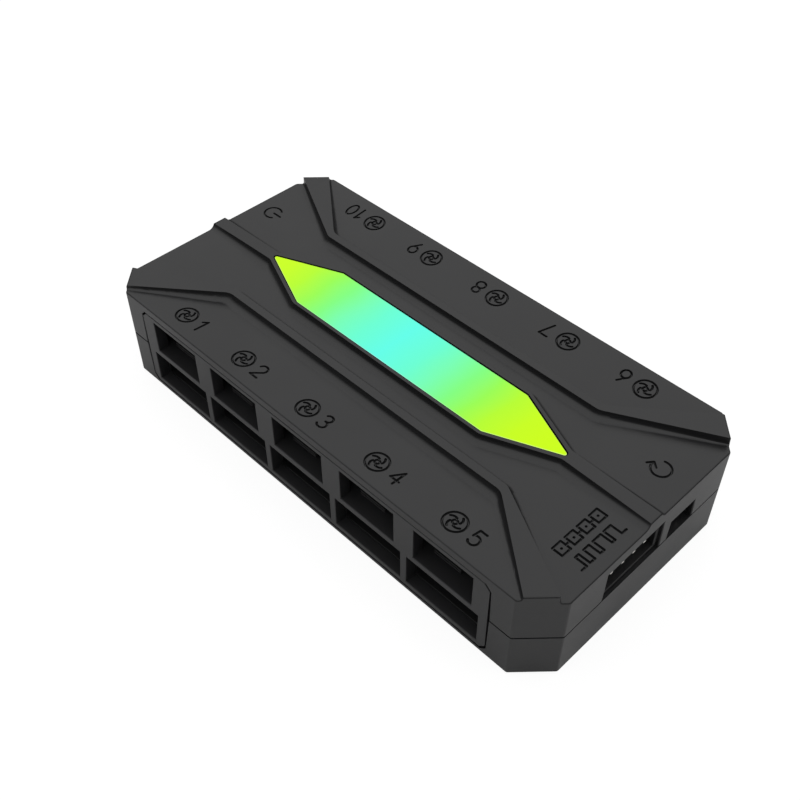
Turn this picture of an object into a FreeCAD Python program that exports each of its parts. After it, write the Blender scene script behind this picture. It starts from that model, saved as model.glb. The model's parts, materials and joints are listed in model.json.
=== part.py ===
import FreeCAD, Part
import math
import os

# PC fan controller hub: a two-part moulded case with a lit lens on top, five pairs of
# fan and light ports in a port frame along each long side, and a control, a reset and
# a power header at the ends. Millimetres. The origin is the bottom centre, X runs along
# the length, and the ports of the near side face -Y. The far side is the near side
# turned half a turn about Z, and so is the power end against the control end.

V = FreeCAD.Vector
OUT = "parts"

# Port rows, seen from the near side
ports_per_side = 5
pin_pitch = 2.54
pin_side = 0.64
pin_tip_share = 0.6         # width of a pin's tip as a share of its side
fan_pins = 4
fan_side_room = 0.54        # from the fan header's side to its opening's side
light_port_width = 13.95
light_port_bar = 1.29       # bar between two light ports
frame_end = 1.66            # frame past the last light port

# Heights of the port frame, from the table up
sill = 0.82
port_gap = 0.24             # reveal all round the port frame
low_rail = 0.88
light_port_height = 6.11
board_thick = 1.0
shelf_over_board = 0.14     # shelf between the rows, less the board's thickness
fan_port_height = 6.33
top_rail = 0.82
brow = 1.42                 # case above the port frame's window
band_rise = 0.60            # raised bands above the label strips' edge

# Case
case_width = 47.4
corner_land = 4.0           # long wall between the port frame and the corner
corner_len = 4.95           # corner chamfer, along the length
corner_wid = 5.20           # corner chamfer, across the width
wall = 1.6
floor_thick = 1.2
roof_thick = 1.5            # under the lowest field of the top
split_below_shelf = 0.34    # joint of the shells below the fan ports' floor
split_reveal = 0.18         # height of the groove that shows at the joint
reveal_depth = 0.35
lip_thick = 0.7
lip_height = 1.0
lip_room = 0.1
foot_chamfer = 0.3

# Relief of the top
strip_fall = 0.95           # fall of a label strip from the wall to its band
field_drop = 1.45           # inner fields below the bands
cove_land = 0.08            # upright part of a step above its cove
band_bend_from_end = 18.1
band_outer_y = 11.77
band_inner_y = 10.38
band_corner_start = 0.93    # along the corner chamfer, from the long wall
band_corner_end = 5.80
band_bend_round = 2.4
field_cove_end = 0.35       # radius of the field's cove where it meets the corner
cove_taper_step = 0.05      # by which that cove's taper starts smaller
ridge_half = 1.15
ridge_bend_from_end = 15.9
ridge_fall = 0.55           # fall of the ridge from the lens to the end wall
rim_corner_from_end = 27.5
rim_half = 5.95
rim_round = 2.4

# Lens and lamps
lens_tip_from_end = 15.4
lens_corner_from_end = 27.72
lens_half = 5.25
lens_round = 0.35
lens_gap = 0.2
lens_below_deck = 0.05
lens_flange = 0.9
lamp_count = 6
lamp_pitch = 9.6
lamp_side = 5.0
lamp_height = 1.5
lamp_notch = 0.9

# Port frame
plate = 2.0
shelf_reach = 3.4           # shelf behind the plate
shelf_step = 0.15           # shelf's underside above the board's
ear_root = 1.0
ear_width = 1.3
ear_thick = 0.9
ear_above_sill = 1.6
frame_chamfer = 1.0

# Fan header, depths from the long wall's face
fan_tip_depth = 4.8
fan_pin_free = 6.8
fan_base_thick = 3.2
fan_base_top_room = 0.22
fan_pin_height = 3.55       # pin's middle above the board
tab_width = 5.2
tab_shift = -1.05
tab_thick = 0.78
tab_above_board = 1.0
tab_past_tips = 2.5
tab_groove = 0.22

# Light header, depths from the long wall's face
light_pins = (-1.5, -0.5, 1.5)
light_mouth_gap = 0.05
light_side_room = 0.15
light_floor_step = 0.21
light_side_wall = 0.575
light_low_wall = 0.6
light_top_wall = 0.5
light_cavity = 8.4
light_back = 1.5
light_tip_in_mouth = 2.95

# End headers, depths from the end wall's face
box_pins = 4
box_mouth_depth = 0.53
box_side_room = 0.57
box_side_wall = 0.75
box_wall = 0.6
box_cavity_height = 4.4
box_cavity = 7.6
box_back = 2.2
end_tip_depth = 0.92
box_slot_side = 0.125
box_slot_top = 0.25
control_y = -3.65
power_y = 7.1
reset_pins = 2
reset_y = 7.92
reset_pin_free = 6.0
reset_slot_side = 0.51
reset_slot_top = 1.28

# Board and what is on it
board_side_gap = 0.3        # board to the port frame's shelf
board_end_gap = 0.5
board_over_light = 0.1      # light ports' roof to the board
notch_room = 0.5
chip_side = 7.0
chip_height = 1.4
chip_corner = 0.7
can_radius = 3.15
can_height = 5.4
can_chamfer = 0.35
can_x = 24.0
regulator_len = 6.5
regulator_wid = 3.5
regulator_height = 1.8
regulator_from_end = 12.3
regulator_tab_len = 3.25
regulator_tab_wid = 1.75
regulator_tab_thick = 0.45

# Screws, bosses and posts
boss_from_end = 5.2
boss_from_side = 5.7
boss_radius = 2.3
boss_gap = 0.1
screw_radius = 1.0
screw_bore_room = 0.2
screw_length = 10.0
screw_end_room = 0.8
head_radius = 1.9
head_height = 1.4
head_chamfer = 0.45
head_seat = 2.0
head_room = 0.2
cross_width = 0.5
cross_reach = 1.14          # half the length of the recess's arms
cross_depth = 0.7
post_radius = 1.4
end_post_from_end = 4.9
end_post_y = 9.5
mid_post_x = 12.0
press_post_radius = 1.0
press_post_x = 38.5
press_post_y = 14.9
press_post_gap = 0.1

# Sizes that follow
half_w = case_width / 2
fan_port_width = fan_pins * pin_pitch + 2 * fan_side_room
port_pitch = light_port_width + light_port_bar
row_half = (ports_per_side - 1) / 2 * port_pitch + light_port_width / 2
frame_half = row_half + frame_end
window_half = frame_half + port_gap
half_l = window_half + corner_land + corner_len

frame_low = sill + port_gap
light_z0 = frame_low + low_rail
light_z1 = light_z0 + light_port_height
board_z0 = light_z1 + board_over_light
board_z1 = board_z0 + board_thick
fan_z0 = light_z1 + board_thick + shelf_over_board
fan_z1 = fan_z0 + fan_port_height
frame_top = fan_z1 + top_rail
window_top = frame_top + port_gap
strip_z = window_top + brow
deck_z = strip_z + band_rise
field_z = deck_z - field_drop
ceiling_z = field_z - roof_thick
split_z = fan_z0 - split_below_shelf

shelf_depth = plate + shelf_reach
board_half_w = half_w - shelf_depth - board_side_gap
board_half_l = half_l - wall - board_end_gap
boss_x = half_l - boss_from_end
boss_y = half_w - boss_from_side
past = 3.0                  # how far a cutter runs past the case
short_past = 1.0            # the same for cutters that taper
tiny = 0.001                # within which two places count as one


def box(x0, x1, y0, y1, z0, z1):
    return Part.makeBox(x1 - x0, y1 - y0, z1 - z0, V(x0, y0, z0))


def near_box(x0, x1, d0, d1, z0, z1):
    """A box on the near side, with its depths taken from the long wall's face."""
    return box(x0, x1, d0 - half_w, d1 - half_w, z0, z1)


def end_box(d0, d1, y0, y1, z0, z1):
    """A box at the control end, with its depths taken from the end wall's face."""
    return box(half_l - d1, half_l - d0, y0, y1, z0, z1)


def cylinder(x, y, z0, z1, radius):
    return Part.makeCylinder(radius, z1 - z0, V(x, y, z0))


def turned(shape):
    """The shape turned half a turn about the upright axis."""
    result = shape.copy()
    result.rotate(V(0, 0, 0), V(0, 0, 1), 180)
    return result


def fused(shapes):
    return shapes[0].multiFuse(shapes[1:]).removeSplitter()


def corner_cut(before, corner, after, radius):
    """Start, middle and end of the arc that rounds one corner of an outline."""
    a = (before - corner).normalize()
    b = (after - corner).normalize()
    half = a.getAngle(b) / 2
    run = radius / math.tan(half)
    centre = corner + (a + b).normalize() * (radius / math.sin(half))
    middle = centre + (corner - centre).normalize() * radius
    return corner + a * run, middle, corner + b * run


def outline(points, radii, z=0.0):
    """A closed flat wire through points, each corner rounded by its radius (0 is sharp)."""
    corners = [V(x, y, z) for x, y in points]
    count = len(corners)
    edges = []
    starts = []
    ends = []
    for i, radius in enumerate(radii):
        if radius:
            arc = corner_cut(corners[i - 1], corners[i], corners[(i + 1) % count], radius)
            edges.append(Part.Arc(*arc).toShape())
            starts.append(arc[0])
            ends.append(arc[2])
        else:
            starts.append(corners[i])
            ends.append(corners[i])
    for i in range(count):
        edges.append(Part.LineSegment(ends[i], starts[(i + 1) % count]).toShape())
    return Part.Wire(Part.__sortEdges__(edges))


def prism(points, radii, z0, z1):
    return Part.Face(outline(points, radii, z0)).extrude(V(0, 0, z1 - z0))


def case_points(inset=0.0):
    """The case's eight-sided plan, drawn in by inset on every side."""
    slant = math.hypot(corner_len, corner_wid)
    along = inset * (slant - corner_len) / corner_wid
    across = inset * (slant - corner_wid) / corner_len
    x0, x1 = half_l - corner_len - along, half_l - inset
    y0, y1 = half_w - corner_wid - across, half_w - inset
    quarter = [(x1, y0), (x0, y1)]
    points = quarter + [(-x, y) for x, y in reversed(quarter)]
    return points + [(-x, -y) for x, y in points]


def case_prism(z0, z1, inset=0.0):
    points = case_points(inset)
    return prism(points, [0] * len(points), z0, z1)


def corner_point(run):
    """The point at run along the near right corner's chamfer, from the long wall."""
    slant = math.hypot(corner_len, corner_wid)
    x = half_l - corner_len + run * corner_len / slant
    y = -half_w + run * corner_wid / slant
    return x, y


# Relief of the top

def strip_floor(y):
    """Height of the near label strip, which falls from the wall towards its band."""
    return strip_z - strip_fall * (y + half_w) / (half_w - band_outer_y)


def cove_section(x, edge_y):
    """Cross-section of the strip's cove: its foot on the floor, an arc, the band's side."""
    cove = deck_z - strip_floor(edge_y) - cove_land
    foot_z = strip_floor(edge_y - cove)
    foot = V(x, edge_y - cove, foot_z)
    top = V(x, edge_y, foot_z + cove)
    dip = cove * (1 - math.sqrt(0.5))
    middle = V(x, edge_y - dip, foot_z + dip)
    high = V(x, edge_y, deck_z + past)
    foot_high = V(x, edge_y - cove, deck_z + past)
    edges = [Part.Arc(foot, middle, top).toShape(),
             Part.LineSegment(top, high).toShape(),
             Part.LineSegment(high, foot_high).toShape(),
             Part.LineSegment(foot_high, foot).toShape()]
    return Part.Wire(edges)


def strip_stations():
    """Plan points of the band's outer edge, from its middle to past the right corner."""
    bend = V(half_l - band_bend_from_end, -band_outer_y, 0)
    corner = V(*corner_point(band_corner_start), 0)
    run = (corner - bend).normalize()
    end = bend + run * ((half_w + short_past - band_outer_y) / -run.y)
    arc = Part.Arc(*corner_cut(V(0, -band_outer_y, 0), bend, end, band_bend_round))
    return [(p.x, p.y) for p in arc.discretize(5)] + [(end.x, end.y)]


def strip_cutter():
    """The near label strip: a wedge with a flat slanted floor, and its shrinking cove."""
    right = strip_stations()
    stations = [(-x, y) for x, y in reversed(right)] + right
    cove = Part.makeLoft([cove_section(x, y) for x, y in stations], True, True)
    outer_y = -half_w - past
    inner_y = -band_outer_y
    feet = []
    for x, y in stations:
        feet.append((x, y - (deck_z - strip_floor(y) - cove_land)))
    plan = feet + [(half_l, outer_y), (-half_l, outer_y)]
    wedge = prism(plan, [0] * len(plan), floor_thick, deck_z + past)
    loop = [V(-half_l, outer_y, strip_floor(outer_y)), V(-half_l, inner_y, strip_floor(inner_y)),
            V(-half_l, inner_y, deck_z + past), V(-half_l, outer_y, deck_z + past)]
    slanted = Part.Face(Part.makePolygon(loop + loop[:1])).extrude(V(2 * half_l, 0, 0))
    return wedge.common(slanted).fuse(cove)


def field_cutter():
    """The near inner field, between the band and the ridge round the lens."""
    bend = (half_l - band_bend_from_end, -band_inner_y)
    corner = corner_point(band_corner_end)
    end_x = half_l + past
    slope = (corner[1] - bend[1]) / (corner[0] - bend[0])
    end_y = bend[1] + slope * (end_x - bend[0])
    right = [bend, (end_x, end_y), (end_x, -ridge_half),
             (half_l - ridge_bend_from_end, -ridge_half),
             (half_l - rim_corner_from_end, -rim_half)]
    radii = [band_bend_round, 0, 0, rim_round, rim_round]
    points = right + [(-x, y) for x, y in reversed(right)]
    block = prism(points, radii + radii[::-1], field_z, deck_z + past)
    floor_edges = []
    for edge in block.Edges:
        flat = edge.BoundBox.ZMax < field_z + tiny
        at_end = edge.BoundBox.XLength < tiny
        if flat and not at_end:
            floor_edges.append(edge)
    block = block.makeFillet(field_drop - cove_land, floor_edges)
    for side in (-1, 1):
        block = block.fuse(field_cove_taper(side))
    return block


def field_cove_section(point, into, cove):
    """The straight sides of the room that a cove leaves beside the band, seen along it."""
    places = [(0, deck_z + past), (0, field_z + cove), (cove, field_z + cove),
              (cove, field_z), (field_drop, field_z), (field_drop, deck_z + past)]
    loop = [point + into * out + V(0, 0, z) for out, z in places]
    return Part.makePolygon(loop + loop[:1])


def field_cove_taper(side):
    """The near field's cove along the band's slanted end, which shrinks to the corner. A
    ball that touches floor and band all along it, and shrinks evenly, sweeps out a cone."""
    bend = V(half_l - band_bend_from_end, -band_inner_y, 0)
    corner = V(*corner_point(band_corner_end), 0)
    start = corner_cut(V(0, -band_inner_y, 0), bend, corner, band_bend_round)[2]
    run = (corner - start).normalize()
    into = V(-run.y, run.x, 0)
    end = corner + run * short_past
    first = field_drop - cove_land - cove_taper_step
    shrink = (first - field_cove_end) / corner.distanceToPoint(start)
    last = first - shrink * end.distanceToPoint(start)
    ball_first = start + into * first + V(0, 0, field_z + first)
    ball_last = end + into * last + V(0, 0, field_z + last)
    axis = ball_last - ball_first
    swell = 1 / math.sqrt(1 - ((first - last) / axis.Length) ** 2)
    cone = Part.makeCone(first * swell, last * swell, axis.Length, ball_first, axis)
    sides = Part.makeLoft([field_cove_section(start, into, first),
                           field_cove_section(end, into, last)], True, True)
    taper = sides.fuse(cone)
    if side < 0:
        return taper.mirror(V(0, 0, 0), V(1, 0, 0))
    return taper


def ridge_cutter():
    """The wedge above the ridge at the control end, which falls to the end wall."""
    start = half_l - ridge_bend_from_end
    wide = ridge_half + field_drop
    end_z = deck_z - ridge_fall * (ridge_bend_from_end + past) / ridge_bend_from_end
    loop = [V(start, -wide, deck_z), V(half_l + past, -wide, end_z),
            V(half_l + past, -wide, deck_z + past), V(start, -wide, deck_z + past)]
    return Part.Face(Part.makePolygon(loop + loop[:1])).extrude(V(0, 2 * wide, 0))


# Lens

def lens_prism(z0, z1, grow=0.0):
    """A prism on the lens's six-sided plan, grown by grow on every side."""
    tip = half_l - lens_tip_from_end
    corner = half_l - lens_corner_from_end
    slant = math.hypot(tip - corner, lens_half)
    tip_x = tip + grow * slant / lens_half
    corner_x = corner + grow * (slant - (tip - corner)) / lens_half
    right = [(corner_x, -lens_half - grow), (tip_x, 0), (corner_x, lens_half + grow)]
    points = right + [(-x, -y) for x, y in right]
    return prism(points, [lens_round + grow] * len(points), z0, z1)


def light_lens():
    """The clear lens: a plug in the roof's window and a flange under the roof."""
    plug = lens_prism(ceiling_z, deck_z - lens_below_deck)
    flange = lens_prism(ceiling_z - lens_flange, ceiling_z, lens_gap + lens_flange)
    return fused([plug, flange])


# Port frame

def frame_outline(half, low, top, d0, d1):
    """An upright plate across the near side with its four corners cut."""
    cut = frame_chamfer
    points = [(-half + cut, low), (half - cut, low), (half, low + cut), (half, top - cut),
              (half - cut, top), (-half + cut, top), (-half, top - cut), (-half, low + cut)]
    loop = [V(x, d0 - half_w, z) for x, z in points]
    return Part.Face(Part.makePolygon(loop + loop[:1])).extrude(V(0, d1 - d0, 0))


def window_cutter():
    """The port frame's window, cut through the wall and the roof's edge behind it."""
    return frame_outline(window_half, sill, window_top, -past, plate + lip_room)


def port_xs():
    middle = (ports_per_side - 1) / 2
    return [(i - middle) * port_pitch for i in range(ports_per_side)]


def port_frame():
    """The near port frame: a pierced plate, the shelf between its rows, two ears."""
    body = frame_outline(frame_half, frame_low, frame_top, 0, plate)
    shelf_z0 = board_z0 + shelf_step
    shelf = near_box(-row_half, row_half, plate, shelf_depth, shelf_z0, fan_z0)
    ears = []
    for side in (-1, 1):
        x0, x1 = sorted((side * (frame_half - ear_root), side * (frame_half + ear_width)))
        ears.append(near_box(x0, x1, wall, wall + ear_thick, sill + ear_above_sill,
                             frame_top - frame_chamfer))
    body = fused([body, shelf] + ears)
    for x in port_xs():
        fan = fan_port_width / 2
        light = light_port_width / 2
        body = body.cut(near_box(x - fan, x + fan, -past, plate, fan_z0, fan_z1))
        body = body.cut(near_box(x - light, x + light, -past, plate, light_z0, light_z1))
    return body


# Headers and pins

def pin(x, profile):
    """One square pin, bent in the YZ plane along the given profile."""
    loop = [V(x - pin_side / 2, y, z) for y, z in profile]
    return Part.Face(Part.makePolygon(loop + loop[:1])).extrude(V(pin_side, 0, 0))


def bent_pin(x, tip_y, bend_y, z, foot_z):
    """A pin with a tapered tip at tip_y, running to bend_y and then to the board."""
    half = pin_side / 2
    tip = half * pin_tip_share
    full_y = tip_y + pin_side * pin_tip_share
    toward = 1 if foot_z > z else -1
    profile = [(tip_y, z - toward * tip), (tip_y, z + toward * tip),
               (full_y, z + toward * half), (bend_y, z + toward * half),
               (bend_y, foot_z), (bend_y + pin_side, foot_z),
               (bend_y + pin_side, z - toward * half), (full_y, z - toward * half)]
    return pin(x, profile)


def fan_pin_set(x):
    tip = fan_tip_depth - half_w
    bend = tip + fan_pin_free + fan_base_thick
    first = x - (fan_pins - 1) / 2 * pin_pitch
    z = board_z1 + fan_pin_height
    return [bent_pin(first + i * pin_pitch, tip, bend, z, board_z1) for i in range(fan_pins)]


def fan_header(x):
    """A fan header: an upright base on the board and a grooved locking tab before it."""
    half = fan_pins * pin_pitch / 2
    d0 = fan_tip_depth + fan_pin_free
    base = near_box(x - half, x + half, d0, d0 + fan_base_thick, board_z1,
                    fan_z1 - fan_base_top_room)
    tab_x = x + tab_shift
    tab_z = board_z1 + tab_above_board
    tab_d = fan_tip_depth - tab_past_tips
    tab = near_box(tab_x - tab_width / 2, tab_x + tab_width / 2, tab_d, d0, tab_z,
                   tab_z + tab_thick)
    body = fused([base, tab])
    middle = tab_z + tab_thick / 2
    body = body.cut(near_box(tab_x - tab_width / 2, tab_x + tab_width / 2, tab_d,
                             tab_d + tab_groove, middle - tab_groove / 2,
                             middle + tab_groove / 2))
    return body.cut(Part.makeCompound(fan_pin_set(x)))


def light_pin_set(x):
    mouth = plate + light_mouth_gap
    tip = mouth + light_tip_in_mouth - half_w
    bend = mouth + light_cavity + light_back - half_w
    z = (light_z0 + light_floor_step + board_z0 - light_top_wall) / 2
    return [bent_pin(x + i * pin_pitch, tip, bend, z, board_z0) for i in light_pins]


def light_header(x):
    """A light header: a box under the board, open towards its port."""
    half = light_port_width / 2 - light_side_room
    outer = half + light_side_wall
    d0 = plate + light_mouth_gap
    d1 = d0 + light_cavity
    low = light_z0 + light_floor_step
    body = near_box(x - outer, x + outer, d0, d1 + light_back, low - light_low_wall, board_z0)
    body = body.cut(near_box(x - half, x + half, d0, d1, low, board_z0 - light_top_wall))
    return body.cut(Part.makeCompound(light_pin_set(x)))


def end_pins(y, count, z, free_to):
    """Pins that point out of the control end, bent down behind their header."""
    first = y - (count - 1) / 2 * pin_pitch
    pins = []
    for i in range(count):
        one = bent_pin(first + i * pin_pitch, end_tip_depth, free_to, z, board_z1)
        one.rotate(V(0, 0, 0), V(0, 0, 1), 90)
        one.translate(V(half_l, 0, 0))
        pins.append(one)
    return pins


def box_header_pins(y):
    z = board_z1 + box_wall + box_cavity_height / 2
    return end_pins(y, box_pins, z, box_mouth_depth + box_cavity + box_back)


def box_header_half():
    return box_pins * pin_pitch / 2 + box_side_room + box_side_wall


def box_header_height():
    return box_cavity_height + 2 * box_wall


def box_header(y):
    """A shrouded header at the control end, open towards the end wall."""
    outer = box_header_half()
    inner = outer - box_side_wall
    d0 = box_mouth_depth
    d1 = d0 + box_cavity
    top = board_z1 + box_header_height()
    body = end_box(d0, d1 + box_back, y - outer, y + outer, board_z1, top)
    body = body.cut(end_box(d0, d1, y - inner, y + inner, board_z1 + box_wall, top - box_wall))
    return body.cut(Part.makeCompound(box_header_pins(y)))


def reset_header_pins():
    back = end_tip_depth + reset_pin_free + pin_pitch
    return end_pins(reset_y, reset_pins, board_z1 + pin_pitch / 2, back)


def reset_header():
    """An open two-pin header: a bar on the board, with a waist between its pins."""
    half = reset_pins * pin_pitch / 2
    d0 = end_tip_depth + reset_pin_free
    bar = end_box(d0, d0 + pin_pitch, reset_y - half, reset_y + half, board_z1,
                  board_z1 + pin_pitch)
    corners = [edge for edge in bar.Edges if edge.BoundBox.ZLength > pin_pitch / 2]
    bar = bar.makeChamfer(pin_side / 2, corners)
    return bar.cut(Part.makeCompound(reset_header_pins()))


def box_slot(y):
    """The opening in the end wall for a shrouded header."""
    half = box_header_half() + box_slot_side
    top = board_z1 + box_header_height() + box_slot_top
    return end_box(-past, wall + lip_room, y - half, y + half, split_z, top)


def end_slots():
    half = reset_pins * pin_pitch / 2 + reset_slot_side
    top = board_z1 + pin_pitch + reset_slot_top
    reset = end_box(-past, wall + lip_room, reset_y - half, reset_y + half, split_z, top)
    return [box_slot(control_y), reset, turned(box_slot(-power_y))]


# Shells

def corners_of(x, y):
    return [(x, y), (-x, y), (x, -y), (-x, -y)]


def screw_line():
    return [(x, y) for x, y in corners_of(boss_x, boss_y)]


def top_shell():
    """The cover: relief on top, the lens's window, bosses and posts under the roof."""
    body = case_prism(split_z, deck_z)
    body = body.cut(case_prism(split_z, ceiling_z, wall))
    strip = strip_cutter()
    field = field_cutter()
    ridge = ridge_cutter()
    for cutter in (strip, field, ridge):
        body = body.cut(cutter).cut(turned(cutter))
    groove = case_prism(split_z, split_z + split_reveal)
    body = body.cut(groove.cut(case_prism(split_z, split_z + split_reveal, reveal_depth)))
    rebate = case_prism(split_z, split_z + lip_height + lip_room, wall - lip_thick - lip_room)
    body = body.cut(rebate)
    window = window_cutter()
    body = body.cut(window).cut(turned(window))
    for slot in end_slots():
        body = body.cut(slot)
    body = body.cut(lens_prism(ceiling_z - past, deck_z + past, lens_gap))
    added = [cylinder(x, y, split_z + boss_gap, ceiling_z, boss_radius)
             for x, y in screw_line()]
    added += [cylinder(x, y, board_z1 + press_post_gap, ceiling_z, press_post_radius)
              for x, y in corners_of(press_post_x, press_post_y)]
    body = fused([body] + added)
    for x, y in screw_line():
        body = body.cut(cylinder(x, y, split_z, head_seat + screw_length + screw_end_room,
                                 screw_radius))
    return body


def bottom_shell():
    """The tray: floor, wall with a locating lip, screw bosses and the board's posts."""
    body = case_prism(0, split_z)
    foot = [edge for edge in body.Edges if edge.BoundBox.ZMax < tiny]
    body = body.makeChamfer(foot_chamfer, foot)
    lip = case_prism(split_z, split_z + lip_height, wall - lip_thick)
    body = fused([body, lip])
    body = body.cut(case_prism(floor_thick, split_z + lip_height, wall))
    window = window_cutter()
    body = body.cut(window).cut(turned(window))
    for slot in end_slots():
        body = body.cut(slot)
    added = [cylinder(x, y, 0, split_z, boss_radius) for x, y in screw_line()]
    posts = corners_of(half_l - end_post_from_end, end_post_y)
    posts += [(mid_post_x, 0), (-mid_post_x, 0)]
    added += [cylinder(x, y, floor_thick, board_z0, post_radius) for x, y in posts]
    body = fused([body] + added)
    for x, y in screw_line():
        body = body.cut(cylinder(x, y, 0, split_z, screw_radius + screw_bore_room))
        body = body.cut(cylinder(x, y, 0, head_seat, head_radius + head_room))
    return body


# Board, lamps and parts

def circuit_board():
    """The board, notched at its corners for the screw bosses."""
    body = box(-board_half_l, board_half_l, -board_half_w, board_half_w, board_z0, board_z1)
    notch_x = boss_x - boss_radius - notch_room
    notch_y = boss_y - boss_radius - notch_room
    for side_x in (-1, 1):
        for side_y in (-1, 1):
            x0, x1 = sorted((side_x * notch_x, side_x * (half_l + past)))
            y0, y1 = sorted((side_y * notch_y, side_y * (half_w + past)))
            body = body.cut(box(x0, x1, y0, y1, board_z0, board_z1))
    return body


def lens_lamps():
    """The row of lamps under the lens, each with one corner cut."""
    lamps = []
    half = lamp_side / 2
    for i in range(lamp_count):
        x = (i - (lamp_count - 1) / 2) * lamp_pitch
        points = [(x - half, -half), (x + half, -half), (x + half, half - lamp_notch),
                  (x + half - lamp_notch, half), (x - half, half)]
        lamps.append(prism(points, [0] * len(points), board_z1, board_z1 + lamp_height))
    return Part.makeCompound(lamps)


def controller_chip():
    """The controller under the board, with its four corners cut."""
    half = chip_side / 2
    body = box(-half, half, -half, half, board_z0 - chip_height, board_z0)
    uprights = [edge for edge in body.Edges if edge.BoundBox.ZLength > chip_height / 2]
    return body.makeChamfer(chip_corner, uprights)


def capacitors():
    """Two can capacitors that hang from the board."""
    cans = []
    for x in (-can_x, can_x):
        can = cylinder(x, 0, board_z0 - can_height, board_z0, can_radius)
        rim = [edge for edge in can.Edges if edge.BoundBox.ZMax < board_z0 - can_height / 2]
        cans.append(can.makeChamfer(can_chamfer, rim))
    return Part.makeCompound(cans)


def voltage_regulator():
    """The regulator near the power header, with its mounting tab."""
    x = regulator_from_end - half_l
    x0, x1 = x - regulator_len / 2, x + regulator_len / 2
    half = regulator_wid / 2
    body = box(x0, x1, -half, half, board_z0 - regulator_height, board_z0)
    tab = box(x - regulator_tab_len / 2, x + regulator_tab_len / 2,
              -half - regulator_tab_wid, -half, board_z0 - regulator_tab_thick, board_z0)
    return fused([body, tab])


def case_screws():
    """The four case screws, heads down in the tray's recesses."""
    screws = []
    for x, y in screw_line():
        head = cylinder(x, y, head_seat - head_height, head_seat, head_radius)
        rim = [edge for edge in head.Edges if edge.BoundBox.ZMax < head_seat - head_height / 2]
        head = head.makeChamfer(head_chamfer, rim)
        shank = cylinder(x, y, head_seat, head_seat + screw_length, screw_radius)
        screw = fused([head, shank])
        low = head_seat - head_height
        for a, b in ((cross_reach, cross_width / 2), (cross_width / 2, cross_reach)):
            screw = screw.cut(box(x - a, x + a, y - b, y + b, low, low + cross_depth))
        screws.append(screw)
    return Part.makeCompound(screws)


def port_nodes():
    """Ports 1 to 5 on the near side, and 6 to 10 turned round to the far side."""
    nodes = {}
    for i, x in enumerate(port_xs()):
        pieces = {"fan_header": fan_header(x), "fan_pins": Part.makeCompound(fan_pin_set(x)),
                  "light_header": light_header(x),
                  "light_pins": Part.makeCompound(light_pin_set(x))}
        for name, shape in pieces.items():
            nodes["%s_%02d" % (name, i + 1)] = shape
            nodes["%s_%02d" % (name, i + 1 + ports_per_side)] = turned(shape)
    return nodes


def main():
    os.makedirs(OUT, exist_ok=True)
    frame = port_frame()
    nodes = {"top_shell": top_shell(), "bottom_shell": bottom_shell(),
             "port_frame_near": frame, "port_frame_far": turned(frame),
             "light_lens": light_lens(), "circuit_board": circuit_board(),
             "lens_lamps": lens_lamps(), "controller_chip": controller_chip(),
             "capacitors": capacitors(), "voltage_regulator": voltage_regulator(),
             "control_header": box_header(control_y),
             "control_pins": Part.makeCompound(box_header_pins(control_y)),
             "reset_header": reset_header(),
             "reset_pins": Part.makeCompound(reset_header_pins()),
             "power_header": turned(box_header(-power_y)),
             "power_pins": turned(Part.makeCompound(box_header_pins(-power_y))),
             "case_screws": case_screws()}
    nodes.update(port_nodes())
    for name, shape in nodes.items():
        shape.exportStep("%s/%s.step" % (OUT, name))


main()
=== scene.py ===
import json
import math

import bmesh
import bpy
import numpy as np
from bpy.props import FloatProperty, FloatVectorProperty, IntProperty, PointerProperty
from mathutils import Matrix, Vector
from mathutils.bvhtree import BVHTree

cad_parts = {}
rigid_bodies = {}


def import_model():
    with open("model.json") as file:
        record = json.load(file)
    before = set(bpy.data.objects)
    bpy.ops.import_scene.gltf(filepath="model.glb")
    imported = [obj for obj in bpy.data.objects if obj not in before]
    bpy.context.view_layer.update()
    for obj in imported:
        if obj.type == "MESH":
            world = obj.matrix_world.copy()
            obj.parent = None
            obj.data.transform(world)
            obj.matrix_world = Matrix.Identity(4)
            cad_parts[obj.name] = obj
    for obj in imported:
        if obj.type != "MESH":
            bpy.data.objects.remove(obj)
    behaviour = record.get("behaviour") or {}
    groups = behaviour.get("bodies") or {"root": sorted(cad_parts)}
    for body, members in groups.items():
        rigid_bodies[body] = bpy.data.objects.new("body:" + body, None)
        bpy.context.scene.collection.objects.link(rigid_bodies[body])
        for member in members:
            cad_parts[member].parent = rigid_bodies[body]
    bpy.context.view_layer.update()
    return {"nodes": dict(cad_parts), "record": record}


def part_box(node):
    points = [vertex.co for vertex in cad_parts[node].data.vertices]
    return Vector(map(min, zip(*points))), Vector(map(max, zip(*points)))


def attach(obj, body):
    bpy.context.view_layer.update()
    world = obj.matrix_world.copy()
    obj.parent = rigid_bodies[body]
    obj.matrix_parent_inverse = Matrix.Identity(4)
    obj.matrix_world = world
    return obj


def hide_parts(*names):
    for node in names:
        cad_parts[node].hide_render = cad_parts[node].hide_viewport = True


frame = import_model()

bl_info = {
    "name": "PC fan controller hub",
    "version": (1, 0, 0),
    "blender": (4, 5, 0),
    "location": "View3D > Sidebar > Fan hub",
    "description": "Dresses the CAD frame of a fan controller hub: rounded edges, engraved "
                   "port marks, a lit lens, moulded plastic and plated metal",
    "category": "Object",
}

ROOT = "root"
MM = 0.001
TINY = 0.001 * MM           # within which two places count as one
RELIEF_Z = 16.9 * MM        # the cover's relief lies above this height
FLOOR_HALF = 3.0            # half the floor's width
NODES = frame["nodes"]

# The camera that the photograph was taken with, fitted to the case's edges
CAMERA_PLACE = (87.925 * MM, -88.800 * MM, 133.638 * MM)
CAMERA_TURN = 45.235
CAMERA_DOWN = 45.538
CAMERA_LENS = 48.084
CAMERA_SENSOR = 36.0


# Settings

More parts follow.
